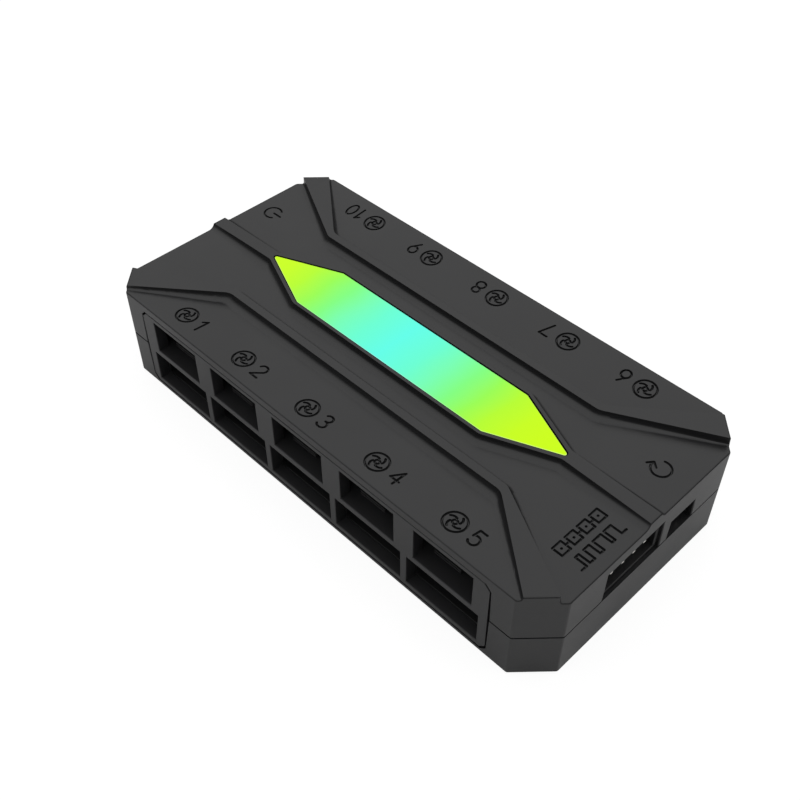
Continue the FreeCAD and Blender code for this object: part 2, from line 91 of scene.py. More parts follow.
def length(name, text, value, low=0.0, high=0.02):
    return FloatProperty(name=name, description=text, default=value, min=low, max=high,
                         precision=5, unit="LENGTH")


def colour(name, text, value):
    return FloatVectorProperty(name=name, description=text, default=linear(value), size=3,
                               min=0.0, max=1.0, subtype="COLOR")


def linear(value):
    """An sRGB hex colour as linear red, green and blue."""
    parts = [int(value[i:i + 2], 16) / 255 for i in (1, 3, 5)]
    return tuple(c / 12.92 if c <= 0.04045 else ((c + 0.055) / 1.055) ** 2.4 for c in parts)


class HubEdgeSettings(bpy.types.PropertyGroup):
    corner_run: length("Corner run", "How far an upright corner's round reaches", 0.22 * MM)
    cover_round: length("Cover edge", "Radius of the cover's outer top edge", 0.32 * MM)
    seam_height: length("Seam height", "Height added to the shells' reveal line", 0.11 * MM)
    seam_depth: length("Seam depth", "Depth of what is added to the reveal line", 0.35 * MM)
    frame_round: length("Port frame edge", "Radius of the port frame's edges", 0.13 * MM)
    lens_round: length("Lens edge", "Radius of the lens's top edge", 0.18 * MM)
    header_round: length("Header edge", "Radius of the headers' edges", 0.06 * MM)
    tip_round: length("Pin tip", "Radius of the edges of a pin's tip", 0.16 * MM)


class HubMarkSettings(bpy.types.PropertyGroup):
    height: length("Height", "Height of a port number", 2.85 * MM)
    strip_height: length("Strip height", "Pitch of the lamp strip's and pulse's signs",
                         2.45 * MM)
    sign_height: length("Sign height", "Width of the restart and power signs", 3.4 * MM)
    stroke: length("Stroke", "Width of an engraved stroke", 0.40 * MM)
    depth: length("Depth", "Depth of an engraved stroke", 0.46 * MM)
    tile: length("Tile", "Pitch of the grid that the engraved faces are cut to", 1.37 * MM)
    from_side: length("From side", "Middle of a port's mark, from the long wall", 3.95 * MM)


class HubWellSettings(bpy.types.PropertyGroup):
    wall: length("Well wall", "Thickness of the light well's wall", 1.0 * MM)
    margin_x: length("Well end margin", "Light well's inside, past the lens's tips", 1.7 * MM)
    margin_y: length("Well side margin", "Light well's inside, past the lens's sides", 0.55 * MM)
    foot_gap: length("Well foot gap", "Air between the light well and the board", 0.25 * MM)
    drop: length("Well drop", "Light well's top, which the cover's skin hides, under the "
                 "lens's top", 2.2 * MM)


class HubScrewSettings(bpy.types.PropertyGroup):
    head: length("Head radius", "Radius of a screw's head", 1.9 * MM)
    shank: length("Shank radius", "Radius over a screw's thread", 1.0 * MM)
    seat: length("Seat", "Height at which a screw's head bears on the tray", 2.0 * MM)
    recess: length("Recess depth", "Depth of the cross recess", 0.85 * MM)
    slot: length("Recess slot", "Width of an arm of the cross recess", 0.6 * MM)
    pitch: length("Pitch", "Thread pitch of the case screws", 0.6 * MM)
    around: IntProperty(name="Around", description="Faces round a screw", default=72, min=24)


class HubColourSettings(bpy.types.PropertyGroup):
    case: colour("Case", "Moulded case plastic", "#1b1b1c")
    # Lighter than the case: partly the frame's own tone, partly painted light for the dim port
    # tunnels.
    port_frame: colour("Port frame", "Moulded port frame plastic", "#262627")
    header: colour("Header", "Moulded header plastic", "#101011")
    tip: colour("Lens tip", "Light at the lens's tips", "#cafc00")
    middle: colour("Lens middle", "Light at the lens's middle", "#5efce6")
    floor: colour("Floor", "Studio floor", "#dadada")


class HubSettings(bpy.types.PropertyGroup):
    edges: PointerProperty(type=HubEdgeSettings)
    marks: PointerProperty(type=HubMarkSettings)
    well: PointerProperty(type=HubWellSettings)
    screws: PointerProperty(type=HubScrewSettings)
    colours: PointerProperty(type=HubColourSettings)


# Materials

def add(tree, kind, inputs=None, **attributes):
    """Adds a node, sets its attributes, and sets or links its inputs."""
    node = tree.nodes.new(kind)
    for name, value in attributes.items():
        setattr(node, name, value)
    for name, value in (inputs or {}).items():
        if isinstance(value, bpy.types.NodeSocket):
            tree.links.new(value, node.inputs[name])
        else:
            node.inputs[name].default_value = value
    return node


def new_material(name):
    """A material whose tree holds only its output, with that output."""
    material = bpy.data.materials.new(name)
    material.use_nodes = True
    material.node_tree.nodes.clear()
    return material, add(material.node_tree, "ShaderNodeOutputMaterial")


def rgba(value):
    return (*value, 1.0)


def moulded_plastic(name, base, grain_mm, relief_mm, rough, rough_spread, ior):
    """Injection-moulded plastic that copies the grain of its spark-eroded mould."""
    material, out = new_material(name)
    tree = material.node_tree
    place = add(tree, "ShaderNodeTexCoord").outputs["Object"]
    grain = add(tree, "ShaderNodeTexNoise",
                {"Vector": place, "Scale": 1 / (grain_mm * MM), "Detail": 2.0,
                 "Roughness": 0.5})
    flow = add(tree, "ShaderNodeTexNoise",
               {"Vector": place, "Scale": 1 / (14 * MM), "Detail": 3.0, "Roughness": 0.55})
    spread = add(tree, "ShaderNodeMapRange",
                 {"Value": flow.outputs["Fac"], "From Min": 0.3, "From Max": 0.7,
                  "To Min": rough - rough_spread, "To Max": rough + rough_spread})
    tone = add(tree, "ShaderNodeMix", {"Factor": flow.outputs["Fac"],
                                       "A": rgba([c * 0.93 for c in base]),
                                       "B": rgba([c * 1.07 for c in base])},
               data_type="RGBA")
    bump = add(tree, "ShaderNodeBump", {"Height": grain.outputs["Fac"], "Strength": 1.0,
                                        "Distance": relief_mm * MM})
    shader = add(tree, "ShaderNodeBsdfPrincipled",
                 {"Base Color": tone.outputs["Result"], "Roughness": spread.outputs["Result"],
                  "Normal": bump.outputs["Normal"], "IOR": ior})
    tree.links.new(shader.outputs["BSDF"], out.inputs["Surface"])
    return material


def abs_moulded_case(colours):
    """ABS, spark-eroded mould: a dull satin that reads dark grey only by its sheen."""
    return moulded_plastic("abs_moulded_satin", colours.case, 0.22, 0.0035, 0.33, 0.03, 1.53)


def abs_moulded_frame(colours):
    """ABS, polished mould: a little smoother than the case round it. Its colour is lighter than
    the case's, partly the frame's own lighter face and partly painted light inside the port
    tunnels, where little light reaches.
    """
    return moulded_plastic("abs_moulded_smooth", colours.port_frame, 0.3, 0.002, 0.36, 0.02,
                           1.50)


def nylon_moulded(colours):
    """Glass-filled nylon of the headers: near black, its fibres give a faint mottle."""
    return moulded_plastic("nylon_glass_filled", colours.header, 0.18, 0.004, 0.48, 0.06, 1.53)


def acrylic_lit(colours, name, top):
    """Opal cast acrylic over a row of lamps: its top glows from lime at the tips to cyan
    just off the middle, its rounded edge glows paler by its tilt as a painted highlight, and the
    polished face adds a thin gloss. Only the top skin gives light, so none gets into the
    case. The colours are those that the eye sees, less the gloss."""
    off_middle = 2.0 * MM
    skin_depth = 0.11 * MM
    material, out = new_material(name)
    tree = material.node_tree
    place = add(tree, "ShaderNodeTexCoord").outputs["Object"]
    axes = add(tree, "ShaderNodeSeparateXYZ", {"Vector": place})
    aside = add(tree, "ShaderNodeMath", {0: axes.outputs["X"], 1: off_middle},
                operation="ADD")
    along = add(tree, "ShaderNodeMath", {0: aside.outputs[0]}, operation="ABSOLUTE")
    lamp_blur = add(tree, "ShaderNodeTexNoise",
                    {"Vector": place, "Scale": 1 / (9.6 * MM), "Detail": 1.0})
    wander = add(tree, "ShaderNodeMapRange",
                 {"Value": lamp_blur.outputs["Fac"], "From Min": 0.3, "From Max": 0.7,
                  "To Min": -0.5 * MM, "To Max": 0.5 * MM})
    reach = add(tree, "ShaderNodeMath", {0: along.outputs[0], 1: wander.outputs["Result"]},
                operation="ADD")
    share = add(tree, "ShaderNodeMapRange",
                {"Value": reach.outputs[0], "From Min": 0.0, "From Max": 30 * MM})
    ramp = add(tree, "ShaderNodeValToRGB", {"Fac": share.outputs["Result"]})
    stops = [(0.0, colours.middle), (0.20, linear("#67fcd0")), (0.33, linear("#75fcb2")),
             (0.47, linear("#80fc7e")), (0.60, linear("#97fb50")), (0.73, linear("#b5fb28")),
             (0.87, linear("#c6fc0c")), (1.0, colours.tip)]
    elements = ramp.color_ramp.elements
    while len(elements) < len(stops):
        elements.new(0.5)
    for element, (where, value) in zip(elements, stops):
        element.position = where
        element.color = rgba(value)
    facing = add(tree, "ShaderNodeSeparateXYZ",
                 {"Vector": add(tree, "ShaderNodeNewGeometry").outputs["Normal"]})
    # Painted highlight: the glow is mixed toward white where the normal tilts from upright, on
    # the lens's rounded edge.
    edge = add(tree, "ShaderNodeMapRange",
               {"Value": facing.outputs["Z"], "From Min": 0.97, "From Max": 0.6,
                "To Min": 0.0, "To Max": 0.22})
    pale = add(tree, "ShaderNodeMix",
               {"Factor": edge.outputs["Result"], "A": ramp.outputs["Color"],
                "B": rgba((1, 1, 1))}, data_type="RGBA")
    glow = add(tree, "ShaderNodeEmission", {"Color": pale.outputs["Result"],
                                            "Strength": 1.0})
    gloss = add(tree, "ShaderNodeBsdfPrincipled",
                {"Base Color": rgba(linear("#040806")), "Roughness": 0.12, "IOR": 1.49,
                 "Specular IOR Level": 0.15})
    lit = add(tree, "ShaderNodeAddShader", {0: glow.outputs[0], 1: gloss.outputs[0]})
    body = add(tree, "ShaderNodeBsdfPrincipled",
               {"Base Color": rgba(linear("#20302a")), "Roughness": 0.3, "IOR": 1.49})
    skin = add(tree, "ShaderNodeMath", {0: axes.outputs["Z"], 1: top - skin_depth},
               operation="GREATER_THAN")
    choice = add(tree, "ShaderNodeMixShader", {0: skin.outputs[0], 1: body.outputs[0],
                                               2: lit.outputs[0]})
    tree.links.new(choice.outputs[0], out.inputs["Surface"])
    return material


def worked_metal(name, dark, pale, stretch, grain_mm, detail, rough):
    """Metal whose tone and roughness follow the lines or clouds that its making left."""
    material, out = new_material(name)
    tree = material.node_tree
    place = add(tree, "ShaderNodeTexCoord").outputs["Object"]
    lines = add(tree, "ShaderNodeMapping", {"Vector": place, "Scale": stretch})
    grain = add(tree, "ShaderNodeTexNoise",
                {"Vector": lines.outputs["Vector"], "Scale": 1 / (grain_mm * MM),
                 "Detail": detail})
    spread = add(tree, "ShaderNodeMapRange", {"Value": grain.outputs["Fac"],
                                              "To Min": rough[0], "To Max": rough[1]})
    tone = add(tree, "ShaderNodeMix", {"Factor": grain.outputs["Fac"],
                                       "A": rgba(linear(dark)), "B": rgba(linear(pale))},
               data_type="RGBA")
    shader = add(tree, "ShaderNodeBsdfPrincipled",
                 {"Base Color": tone.outputs["Result"], "Metallic": 1.0,
                  "Roughness": spread.outputs["Result"]})
    tree.links.new(shader.outputs["BSDF"], out.inputs["Surface"])
    return material


def tin_plated_brass():
    """Bright tin over drawn brass: pale metal with fine draw lines along the pin."""
    return worked_metal("tin_plate_bright", "#f1ede6", "#fffdf8", (9.0, 1.0, 9.0), 0.9, 2.0,
                        (0.14, 0.34))


def drawn_aluminium():
    """Deep-drawn aluminium can: pale satin metal with faint upright draw lines."""
    return worked_metal("aluminium_deep_drawn", "#d4d5d6", "#d8d9da", (12.0, 12.0, 1.0), 2.4,
                        3.0, (0.24, 0.42))


def black_zinc_steel():
    """Steel screws, zinc plated and passivated black: dark metal with a blue-grey cast."""
    return worked_metal("steel_black_zinc", "#2a2b2f", "#4a4b50", (1.0, 1.0, 1.0), 0.8, 3.0,
                        (0.25, 0.45))


def solder_masked_laminate():
    """Glass-epoxy board under black solder mask: glossy, with tracks that lie under the
    mask as slightly raised, slightly paler lines on a 2.54 mm grid."""
    material, out = new_material("laminate_solder_mask")
    tree = material.node_tree
    place = add(tree, "ShaderNodeTexCoord").outputs["Object"]
    tracks = add(tree, "ShaderNodeTexBrick",
                 {"Vector": place, "Scale": 1.0, "Brick Width": 7.62 * MM,
                  "Row Height": 2.54 * MM, "Mortar Size": 0.25 * MM, "Mortar Smooth": 0.2,
                  "Color1": rgba(linear("#0b120e")), "Color2": rgba(linear("#0d1511")),
                  "Mortar": rgba(linear("#18251d"))})
    bump = add(tree, "ShaderNodeBump", {"Height": tracks.outputs["Fac"], "Strength": 1.0,
                                        "Distance": 0.035 * MM})
    shader = add(tree, "ShaderNodeBsdfPrincipled",
                 {"Base Color": tracks.outputs["Color"], "Roughness": 0.28,
                  "Normal": bump.outputs["Normal"], "IOR": 1.55})
    tree.links.new(shader.outputs["BSDF"], out.inputs["Surface"])
    return material


def epoxy_moulded():
    """Transfer-moulded epoxy of the chips: matt black with a sandy grain."""
    return moulded_plastic("epoxy_transfer_moulded", linear("#17171a"), 0.16, 0.006, 0.62,
                           0.05, 1.55)


def white_lamp_body():
    """Moulded white lamp body filled with clear resin: milky and glossy."""
    return moulded_plastic("lamp_body_white", linear("#e6e3d6"), 0.6, 0.002, 0.22, 0.04, 1.5)


def studio_floor(colours):
    """Matt white card on a dark table. To the camera it is paper white all over, with the
    object's own shade as a faint grey. Gloss sees the card end some way off, which draws
    a dark line along the rounded edges."""
    material, out = new_material("card_matt_white")
    tree = material.node_tree
    path = add(tree, "ShaderNodeLightPath")
    place = add(tree, "ShaderNodeTexCoord").outputs["Object"]
    fibre = add(tree, "ShaderNodeTexNoise", {"Vector": place, "Scale": 1 / (1.5 * MM)})
    bump = add(tree, "ShaderNodeBump", {"Height": fibre.outputs["Fac"], "Strength": 1.0,
                                        "Distance": 0.004 * MM})
    apart = add(tree, "ShaderNodeVectorMath", {0: place}, operation="LENGTH")
    fall = add(tree, "ShaderNodeMapRange",
               {"Value": apart.outputs["Value"], "From Min": 80 * MM, "From Max": 170 * MM},
               interpolation_type="SMOOTHSTEP")
    card = add(tree, "ShaderNodeMix", {"Factor": fall.outputs["Result"],
                                       "A": rgba(colours.floor),
                                       "B": rgba(linear("#3c3c3c"))}, data_type="RGBA")
    plain = add(tree, "ShaderNodeBsdfDiffuse", {"Color": card.outputs["Result"],
                                                "Normal": bump.outputs["Normal"]})
    shade = add(tree, "ShaderNodeBsdfDiffuse", {"Color": rgba(linear("#7c7c7c"))})
    white = add(tree, "ShaderNodeEmission", {"Color": rgba((1, 1, 1)), "Strength": 0.88})
    seen = add(tree, "ShaderNodeAddShader", {0: shade.outputs[0], 1: white.outputs[0]})
    choice = add(tree, "ShaderNodeMixShader", {0: path.outputs["Is Camera Ray"],
                                               1: plain.outputs[0], 2: seen.outputs[0]})
    tree.links.new(choice.outputs[0], out.inputs["Surface"])
    return material


def studio_room():
    """A white tent over the table: full white overhead, falling to dark at the horizon,
    as a tent's open foot does. The camera sees plain white."""
    world = bpy.data.worlds.new("studio_room")
    world.use_nodes = True
    tree = world.node_tree
    tree.nodes.clear()
    out = add(tree, "ShaderNodeOutputWorld")
    way = add(tree, "ShaderNodeTexCoord").outputs["Object"]
    height = add(tree, "ShaderNodeSeparateXYZ", {"Vector": way}).outputs["Z"]
    low, high = (math.sin(math.radians(a)) for a in (14, 38))
    rise = add(tree, "ShaderNodeMapRange",
               {"Value": height, "From Min": low, "From Max": high, "To Min": 0.06,
                "To Max": 1.0}, interpolation_type="SMOOTHSTEP")
    tent = add(tree, "ShaderNodeBackground", {"Color": rgba((1, 1, 1)),
                                              "Strength": rise.outputs["Result"]})
    plain = add(tree, "ShaderNodeBackground", {"Color": rgba((1, 1, 1)), "Strength": 1.0})
    path = add(tree, "ShaderNodeLightPath")
    room = add(tree, "ShaderNodeMixShader", {0: path.outputs["Is Camera Ray"],
                                             1: tent.outputs[0], 2: plain.outputs[0]})
    tree.links.new(room.outputs[0], out.inputs["Surface"])
    return world


# Meshes

def made_object(name, mesh, material, nodes):
    """Puts a finished mesh in the scene as the piece that stands for CAD nodes."""
    piece = bpy.data.objects.new(name, mesh)
    bpy.context.scene.collection.objects.link(piece)
    mesh.materials.clear()
    mesh.materials.append(material)
    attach(piece, ROOT)
    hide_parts(*nodes)
    return piece


def merged_copy(node, flat=0.4):
    """A bmesh of a CAD node with its doubles merged and its flat triangles joined."""
    work = bmesh.new()
    work.from_mesh(NODES[node].data)
    bmesh.ops.remove_doubles(work, verts=work.verts, dist=0.5e-6)
    bmesh.ops.dissolve_limit(work, angle_limit=math.radians(flat), verts=work.verts,
                             edges=work.edges, delimit=set())
    return work


def rounded(work, edges, radius, steps=3):
    """Rounds the given edges of a bmesh with a circular bevel."""
    bmesh.ops.bevel(work, geom=list(edges), offset=radius, offset_type="OFFSET",
                    segments=steps, profile=0.5, affect="EDGES", clamp_overlap=True,
                    miter_outer="SHARP", loop_slide=True)


def sharp_edges(work, least, test):
    """Convex edges that turn by more than least degrees and whose two ends pass a test."""
    found = []
    for edge in work.edges:
        if len(edge.link_faces) == 2 and edge.is_convex:
            if math.degrees(edge.calc_face_angle()) > least:
                if all(test(v.co) for v in edge.verts):
                    found.append(edge)
    return found


def smooth_mesh(work, name, sharp=28.0):
    """Turns a bmesh into a mesh that shades smoothly but for edges over a sharp angle."""
    work.normal_update()
    limit = math.radians(sharp)
    for face in work.faces:
        face.smooth = True
    for edge in work.edges:
        edge.smooth = len(edge.link_faces) == 2 and edge.calc_face_angle(0.0) < limit
    mesh = bpy.data.meshes.new(name)
    work.to_mesh(mesh)
    work.free()
    return mesh


def weigh_normals(piece):
    """Lets large flat faces hold their own shading beside small rounds."""
    modifier = piece.modifiers.new("flat faces stay flat", "WEIGHTED_NORMAL")
    modifier.keep_sharp = True
    modifier.weight = 100


# Strokes of the engraved marks. A glyph is a list of flat paths, in units of its height.

def arc(cx, cy, rx, ry, start, end, count=20):
    """Points cx + rx cos t, cy + ry sin t, for t from start to end in degrees."""
    t = np.radians(np.linspace(start, end, count))
    return np.column_stack([cx + rx * np.cos(t), cy + ry * np.sin(t)])


def spiral(turn, inner, outer, sweep, count=12):
    """Points at radius r from inner to outer, at the angle turn + sweep * (r - inner)."""
    r = np.linspace(inner, outer, count)
    t = np.radians(turn + sweep * (r - inner) / (outer - inner))
    return np.column_stack([r * np.cos(t), r * np.sin(t)])


def runs(*points):
    """A broken line as separate straight strokes, so that its corners come out round."""
    return [np.array(pair, float) for pair in zip(points, points[1:])]


def digit(figure):
    """The strokes of a plain figure, 0.58 wide and 1 high, its left foot at 0, 0."""
    shapes = {
        "0": [arc(0.30, 0.5, 0.28, 0.5, 0, 360, 32)],
        "1": runs((0.12, 0.76), (0.36, 1.0), (0.36, 0.0)),
        "2": [arc(0.29, 0.71, 0.28, 0.29, 165, -38)] + runs((0.51, 0.53), (0.02, 0.0),
                                                           (0.58, 0.0)),
        "3": [arc(0.28, 0.76, 0.25, 0.24, 150, -90), arc(0.28, 0.26, 0.29, 0.26, 90, -152)],
        "4": runs((0.43, 0.0), (0.43, 1.0), (0.0, 0.30), (0.60, 0.30)),
        "5": runs((0.52, 1.0), (0.10, 1.0), (0.05, 0.52)) + [arc(0.27, 0.32, 0.29, 0.32,
                                                                138, -148)],
        "6": [arc(0.29, 0.31, 0.28, 0.31, 0, 360, 32)] + runs((0.06, 0.47), (0.42, 1.0)),
        "7": runs((0.0, 1.0), (0.57, 1.0), (0.20, 0.0)),
        "8": [arc(0.29, 0.27, 0.29, 0.27, 0, 360, 32), arc(0.29, 0.77, 0.24, 0.23, 0, 360, 32)],
        "9": [arc(0.29, 0.69, 0.28, 0.31, 0, 360, 32)] + runs((0.52, 0.53), (0.16, 0.0)),
    }
    return shapes[figure]


def dot(x, y):
    """A stroke so short that only its two round ends show."""
    return np.array([(x - 0.01, y), (x + 0.01, y)])


def fan_sign():
    """A plain fan: a ring, four curved blades and a hub, centred, 1 across."""
    blades = [spiral(turn, 0.20, 0.37, 52) for turn in (20, 110, 200, 290)]
    return [arc(0, 0, 0.5, 0.5, 0, 360, 44), arc(0, 0, 0.11, 0.11, 0, 360, 16)] + blades


def number_strokes(number):
    """A number's strokes, centred on its middle, with its width."""
    strokes = []
    for place, figure in enumerate(str(number)):
        strokes += [path + [0.72 * place, 0.0] for path in digit(figure)]
    points = np.vstack(strokes)
    middle = (points.min(0) + points.max(0)) / 2
    return [path - middle for path in strokes], np.ptp(points[:, 0])


def port_mark(number):
    """A fan sign and the port's number, side by side and centred. The sign is the larger."""
    strokes, width = number_strokes(number)
    sign_size = 1.28
    gap = 0.5
    left = -(sign_size + gap + width) / 2
    sign = [path * sign_size + [left + sign_size / 2, 0] for path in fan_sign()]
    return sign + [path + [-left - width / 2, 0] for path in strokes]


def lamp_strip_sign():
    """A strip of four lamps: four squares on a line."""
    strokes = []
    half = 0.36
    for x in (-1.62, -0.54, 0.54, 1.62):
        strokes += runs((x - half, -half), (x + half, -half), (x + half, half),
                        (x - half, half), (x - half, -half))
        strokes.append(dot(x, 0))
    for x in (-1.08, 0.0, 1.08):
        strokes += runs((x - 0.5 + half - 0.04, 0.0), (x + 0.5 - half + 0.04, 0.0))
    return strokes


def pulse_sign():
    """A square wave whose pulses grow wider."""
    points = [(-1.98, -0.4)]
    x = -1.98
    for low, high in ((0.42, 0.30), (0.42, 0.48), (0.34, 0.70), (0.28, 0.62)):
        points += [(x + low, -0.4), (x + low, 0.4), (x + low + high, 0.4),
                   (x + low + high, -0.4)]
        x += low + high
    points.append((1.98, -0.4))
    return runs(*points)


def restart_sign():
    """A circular arrow."""
    ring = arc(0, 0, 0.46, 0.46, 75, 375, 36)
    tip = ring[0]
    return [ring] + runs((tip[0] - 0.26, tip[1] + 0.20), (tip[0], tip[1]),
                         (tip[0] - 0.22, tip[1] - 0.26))


def power_sign():
    """A broken ring with an upright bar in its gap."""
    return [arc(0, 0, 0.46, 0.46, 138, 402, 36)] + runs((0, 0.08), (0, 0.58))


def gouge(path, width, depth, proud):
    """A closed solid that cuts one round-ended groove along a flat path.

    The path is carried on by a half circle at each end: a point u quarter turns past the
    end lies width/2 sin u further on, where the groove is width cos u wide. A section's
    point at angle a is across * width/2 * cos a, and its depth is depth * sin(a) ** 0.6,
    which gives steep walls and a rounded floor. Two more points close it above the face.
    """
    closed = np.allclose(path[0], path[-1])
    if closed:
        path = path[:-1]
        ahead = np.roll(path, -1, 0) - np.roll(path, 1, 0)
        scale = np.ones(len(path))
    else:
        ahead = np.gradient(path, axis=0)
        turn = np.radians(np.linspace(0, 84, 6)[1:])
        first = path[0] - ahead[0] / np.linalg.norm(ahead[0]) * width / 2 * np.sin(
            turn[::-1, None])
        last = path[-1] + ahead[-1] / np.linalg.norm(ahead[-1]) * width / 2 * np.sin(
            turn[:, None])
        scale = np.concatenate([np.cos(turn[::-1]), np.ones(len(path)), np.cos(turn)])
        ahead = np.vstack([np.repeat(ahead[:1], 5, 0), ahead, np.repeat(ahead[-1:], 5, 0)])
        path = np.vstack([first, path, last])
    ahead = ahead / np.linalg.norm(ahead, axis=1, keepdims=True)
    across = np.column_stack([-ahead[:, 1], ahead[:, 0]])
    a = np.linspace(0, math.pi, 9)
    side = np.concatenate([np.cos(a), [-1.0, 1.0]])
    down = np.concatenate([-depth * np.sin(a) ** 0.6, [proud, proud]])
    count, round_ = len(path), len(side)
    spread = scale[:, None] * side[None, :] * width / 2
    flat = path[:, None, :] + across[:, None, :] * spread[:, :, None]
    deep = np.where(down < 0, down[None, :] * np.sqrt(scale)[:, None], down[None, :])
    verts = np.dstack([flat, deep]).reshape(-1, 3)
    stations = count if closed else count - 1
    i = np.arange(stations)[:, None] * round_
    j = (np.arange(stations)[:, None] + 1) % count * round_
    k = np.arange(round_)[None, :]
    n = (k + 1) % round_
    faces = np.stack([i + k, j + k, j + n, i + n], -1).reshape(-1, 4).tolist()
    if not closed:
        faces.append(list(range(round_)))
        faces.append(list(range((count - 1) * round_, count * round_))[::-1])
    return verts, faces


def combine(piece, group, operation):
    """Adds the closed solids of a collection to a piece or cuts them out, for good."""
    step = piece.modifiers.new("solids", "BOOLEAN")
    step.operation = operation
    step.solver = "MANIFOLD"
    step.operand_type = "COLLECTION"
    step.collection = group
    bpy.context.view_layer.update()
    depsgraph = bpy.context.evaluated_depsgraph_get()
    result = bpy.data.meshes.new_from_object(piece.evaluated_get(depsgraph))
    piece.modifiers.remove(step)
    piece.data = result
    for tool in list(group.objects):
        data = tool.data
        bpy.data.objects.remove(tool)
        bpy.data.meshes.remove(data)
    bpy.data.collections.remove(group)


def add_light_well(piece, settings):
    """Hangs a light well from the cover: a plain wall round the lamps, under the lens,
    which keeps their light in and closes the view from port to port.

    Its plan is a rectangle ring: the inner corners lie at the lens's reach plus a margin,
    the outer ones a wall's thickness on, and both rings stand at the foot and at the top.
    """
    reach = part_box("light_lens")[1]
    inner = np.array([reach.x + settings.margin_x, reach.y + settings.margin_y])
    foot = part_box("circuit_board")[1].z + settings.foot_gap
    top = reach.z - settings.drop
    turns = np.array([(-1, -1), (1, -1), (1, 1), (-1, 1)])
    rings = [turns * size for size in (inner, inner + settings.wall)]
    verts = np.vstack([np.column_stack([ring, np.full(4, z)]) for z in (foot, top)
                       for ring in rings])
    faces = []
    for a in range(4):
        b = (a + 1) % 4
        faces += [(a, b, 8 + b, 8 + a), (4 + b, 4 + a, 12 + a, 12 + b),
                  (b, a, 4 + a, 4 + b), (8 + a, 8 + b, 12 + b, 12 + a)]
    mesh = bpy.data.meshes.new("light_well")
    mesh.from_pydata(verts.tolist(), [], faces)
    work = bmesh.new()
    work.from_mesh(mesh)
    bmesh.ops.recalc_face_normals(work, faces=work.faces)
    work.to_mesh(mesh)
    work.free()
    group = bpy.data.collections.new("wells")
    bpy.context.scene.collection.children.link(group)
    group.objects.link(bpy.data.objects.new("light_well", mesh))
    combine(piece, group, "UNION")


def carve(piece, marks, settings):
    """Cuts marks into a piece. A mark is its strokes, middle, turn and height. Each lies
    on the face under it: z = z0 + sx x + sy y, from three rays down on the piece."""
    work = bmesh.new()
    work.from_mesh(piece.data)
    tree = BVHTree.FromBMesh(work)
    work.free()
    group = bpy.data.collections.new("gouges")
    bpy.context.scene.collection.children.link(group)
    proud = 0.3 * MM
    for number, (strokes, middle, turn, height) in enumerate(marks):
        spots = np.array([middle, (middle[0] + MM, middle[1]), (middle[0], middle[1] + MM)])
        z = [tree.ray_cast(Vector((*spot, 1.0)), Vector((0, 0, -1)))[0].z for spot in spots]
        slope = np.array([z[1] - z[0], z[2] - z[0]]) / MM
        spin = np.array([[math.cos(turn), math.sin(turn)], [-math.sin(turn), math.cos(turn)]])
        for stroke, path in enumerate(strokes):
            depth = settings.depth * (1 + 0.03 * (stroke % 7))
            verts, faces = gouge(path * height, settings.stroke, depth, proud)
            flat = verts[:, :2] @ spin
            rise = flat @ slope
            placed = np.column_stack([flat + middle, verts[:, 2] + rise + z[0]])
            mesh = bpy.data.meshes.new("gouge_%d_%d" % (number, stroke))
            mesh.from_pydata(placed.tolist(), [], faces)
            tool_mesh = bmesh.new()
            tool_mesh.from_mesh(mesh)
            bmesh.ops.recalc_face_normals(tool_mesh, faces=tool_mesh.faces)
            tool_mesh.to_mesh(mesh)
            tool_mesh.free()
            group.objects.link(bpy.data.objects.new(mesh.name, mesh))
    combine(piece, group, "DIFFERENCE")


